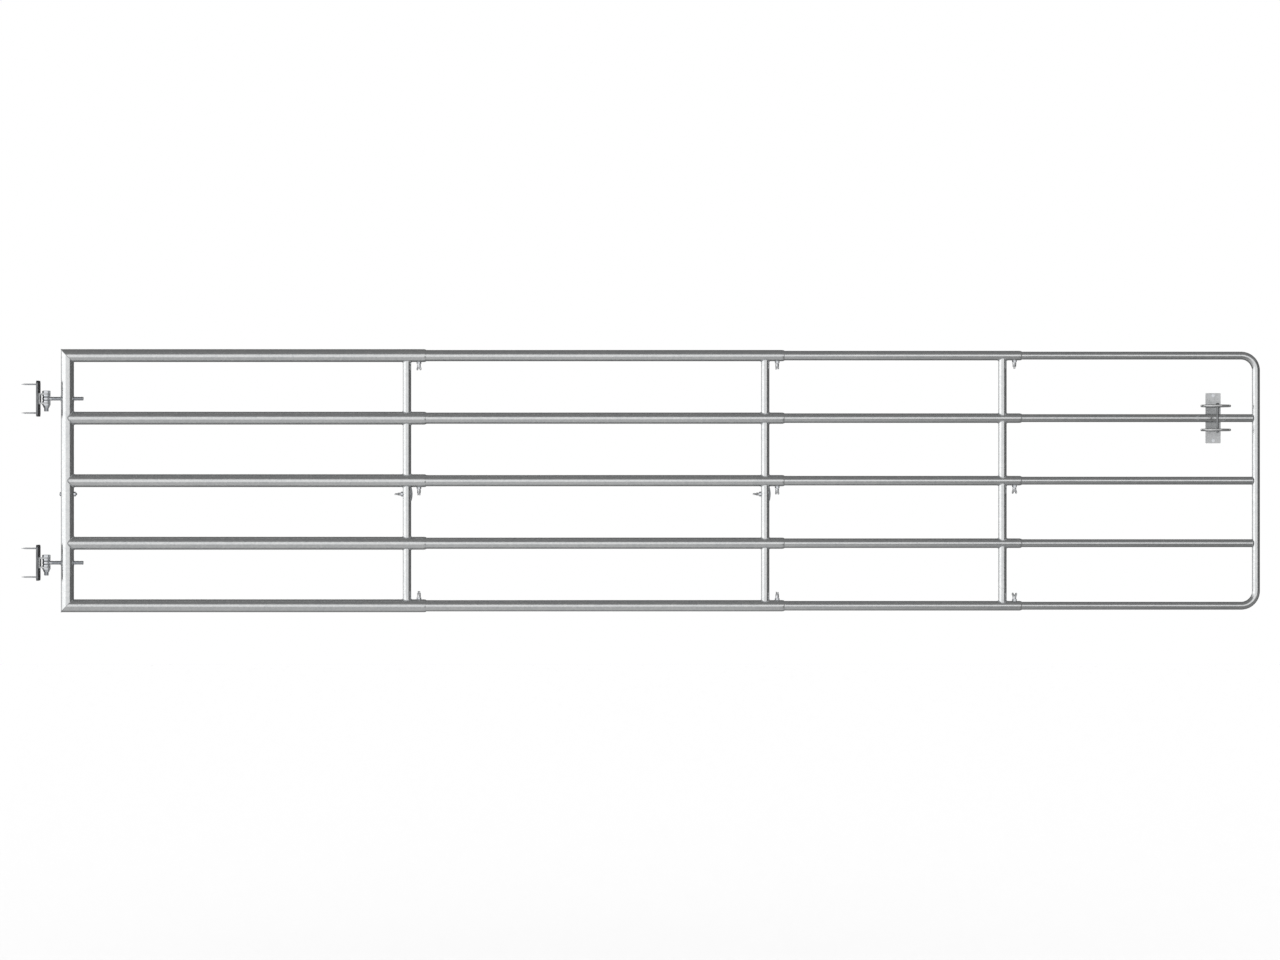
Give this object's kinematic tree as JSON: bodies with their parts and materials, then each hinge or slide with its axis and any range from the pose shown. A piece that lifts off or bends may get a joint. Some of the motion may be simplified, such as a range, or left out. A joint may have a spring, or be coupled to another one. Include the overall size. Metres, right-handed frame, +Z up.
{
  "type": "telescoping field gate",
  "caption": "Telescoping field gate of round galvanised tube, hung on post hinges, with sliding inner frames, wing clamp screws and a post keeper with a drop pin.",
  "frame": {"origin": "centre of the lower hinge plate's back face, where it meets the hanging post", "axes": "+X along the closed gate away from the hanging post, +Z up, -Y towards the side that the keeper's rings are on"},
  "size_m": [5.1805, 0.1991, 1.1],
  "materials": {
    "galvanised_steel": "hot-dip galvanised, satin",
    "zinc_plated_steel": "bright zinc plated"
  },
  "bodies": {
    "hinge_brackets": {"upper_hinge_plate": "galvanised_steel", "lower_hinge_plate": "galvanised_steel", "upper_hinge_fork": "galvanised_steel", "lower_hinge_fork": "galvanised_steel", "upper_hinge_bolt": "zinc_plated_steel", "lower_hinge_bolt": "zinc_plated_steel", "hinge_nuts": "zinc_plated_steel", "hinge_spacers": "zinc_plated_steel", "post_screws": "zinc_plated_steel"},
    "main_frame": {"upper_eyebolt": "zinc_plated_steel", "lower_eyebolt": "zinc_plated_steel", "eyebolt_bushes": "galvanised_steel", "hinge_stile": "galvanised_steel", "stile_bolt": "zinc_plated_steel", "stile_bolt_nut": "zinc_plated_steel", "first_top_rail": "galvanised_steel", "first_upper_rail": "galvanised_steel", "first_middle_rail": "galvanised_steel", "first_lower_rail": "galvanised_steel", "first_bottom_rail": "galvanised_steel", "first_upright": "galvanised_steel", "first_clamp_nuts": "zinc_plated_steel", "first_bolt_nut": "zinc_plated_steel", "first_strap": "galvanised_steel"},
    "second_frame": {"second_top_rail": "galvanised_steel", "second_upper_rail": "galvanised_steel", "second_middle_rail": "galvanised_steel", "second_lower_rail": "galvanised_steel", "second_bottom_rail": "galvanised_steel", "second_upright": "galvanised_steel", "second_clamp_nuts": "zinc_plated_steel", "second_bolt_nut": "zinc_plated_steel", "second_strap": "galvanised_steel"},
    "third_frame": {"third_top_rail": "galvanised_steel", "third_upper_rail": "galvanised_steel", "third_middle_rail": "galvanised_steel", "third_lower_rail": "galvanised_steel", "third_bottom_rail": "galvanised_steel", "third_upright": "galvanised_steel", "third_clamp_nuts": "zinc_plated_steel"},
    "end_frame": {"end_hoop": "galvanised_steel", "end_upper_rail": "galvanised_steel", "end_middle_rail": "galvanised_steel", "end_lower_rail": "galvanised_steel"},
    "keeper": {"keeper_plate": "galvanised_steel", "keeper_screws": "zinc_plated_steel", "keeper_rings": "galvanised_steel", "keeper_sleeves": "galvanised_steel"},
    "drop_pin": {"keeper_pin": "zinc_plated_steel"},
    "first_top_wing_screw": {"first_top_wing_screw": "zinc_plated_steel"},
    "first_middle_wing_screw": {"first_middle_wing_screw": "zinc_plated_steel"},
    "first_bottom_wing_screw": {"first_bottom_wing_screw": "zinc_plated_steel"},
    "second_top_wing_screw": {"second_top_wing_screw": "zinc_plated_steel"},
    "second_middle_wing_screw": {"second_middle_wing_screw": "zinc_plated_steel"},
    "second_bottom_wing_screw": {"second_bottom_wing_screw": "zinc_plated_steel"},
    "third_top_wing_screw": {"third_top_wing_screw": "zinc_plated_steel"},
    "third_middle_wing_screw": {"third_middle_wing_screw": "zinc_plated_steel"},
    "third_bottom_wing_screw": {"third_bottom_wing_screw": "zinc_plated_steel"},
    "first_wing_bolt": {"first_wing_bolt": "zinc_plated_steel"},
    "second_wing_bolt": {"second_wing_bolt": "zinc_plated_steel"}
  },
  "joints": [
    {"name": "gate_swing", "type": "hinge", "parent": "hinge_brackets", "child": "main_frame", "pos_m": [0.038, 0, 0], "axis": [0, 0, 1], "range_deg": [-90, 90]},
    {"name": "second_slide", "type": "slide", "parent": "main_frame", "child": "second_frame", "axis": [1, 0, 0], "range_m": [-1.15, 0.15]},
    {"name": "third_slide", "type": "slide", "parent": "second_frame", "child": "third_frame", "axis": [1, 0, 0], "range_m": [-0.88, 0.15]},
    {"name": "end_slide", "type": "slide", "parent": "third_frame", "child": "end_frame", "axis": [1, 0, 0], "range_m": [-0.6, 0.15]},
    {"name": "keeper_slide", "type": "slide", "parent": "end_frame", "child": "keeper", "axis": [1, 0, 0], "range_m": [-0.12, 0.09]},
    {"name": "pin_lift", "type": "slide", "parent": "keeper", "child": "drop_pin", "axis": [0, 0, 1], "range_m": [0, 0.13]},
    {"name": "first_top_clamp_turn", "type": "hinge", "parent": "main_frame", "child": "first_top_wing_screw", "pos_m": [1.596, 0, 0.866], "axis": [0, 0, -1], "range_deg": [0, 720]},
    {"name": "first_middle_clamp_turn", "type": "hinge", "parent": "main_frame", "child": "first_middle_wing_screw", "pos_m": [1.596, 0, 0.343], "axis": [0, 0, -1], "range_deg": [0, 720]},
    {"name": "first_bottom_clamp_turn", "type": "hinge", "parent": "main_frame", "child": "first_bottom_wing_screw", "pos_m": [1.596, 0, -0.18], "axis": [0, 0, 1], "range_deg": [0, 720]},
    {"name": "second_top_clamp_turn", "type": "hinge", "parent": "second_frame", "child": "second_top_wing_screw", "pos_m": [3.094, 0, 0.866], "axis": [0, 0, -1], "range_deg": [0, 720]},
    {"name": "second_middle_clamp_turn", "type": "hinge", "parent": "second_frame", "child": "second_middle_wing_screw", "pos_m": [3.094, 0, 0.343], "axis": [0, 0, -1], "range_deg": [0, 720]},
    {"name": "second_bottom_clamp_turn", "type": "hinge", "parent": "second_frame", "child": "second_bottom_wing_screw", "pos_m": [3.094, 0, -0.18], "axis": [0, 0, 1], "range_deg": [0, 720]},
    {"name": "third_top_clamp_turn", "type": "hinge", "parent": "third_frame", "child": "third_top_wing_screw", "pos_m": [4.086, 0, 0.866], "axis": [0, 0, -1], "range_deg": [0, 720]},
    {"name": "third_middle_clamp_turn", "type": "hinge", "parent": "third_frame", "child": "third_middle_wing_screw", "pos_m": [4.086, 0, 0.343], "axis": [0, 0, -1], "range_deg": [0, 720]},
    {"name": "third_bottom_clamp_turn", "type": "hinge", "parent": "third_frame", "child": "third_bottom_wing_screw", "pos_m": [4.086, 0, -0.18], "axis": [0, 0, 1], "range_deg": [0, 720]},
    {"name": "first_wing_bolt_turn", "type": "hinge", "parent": "main_frame", "child": "first_wing_bolt", "pos_m": [1.546, 0, 0.287], "axis": [-1, 0, 0], "range_deg": [0, 720]},
    {"name": "second_wing_bolt_turn", "type": "hinge", "parent": "second_frame", "child": "second_wing_bolt", "pos_m": [3.044, 0, 0.287], "axis": [-1, 0, 0], "range_deg": [0, 720]}
  ]
}
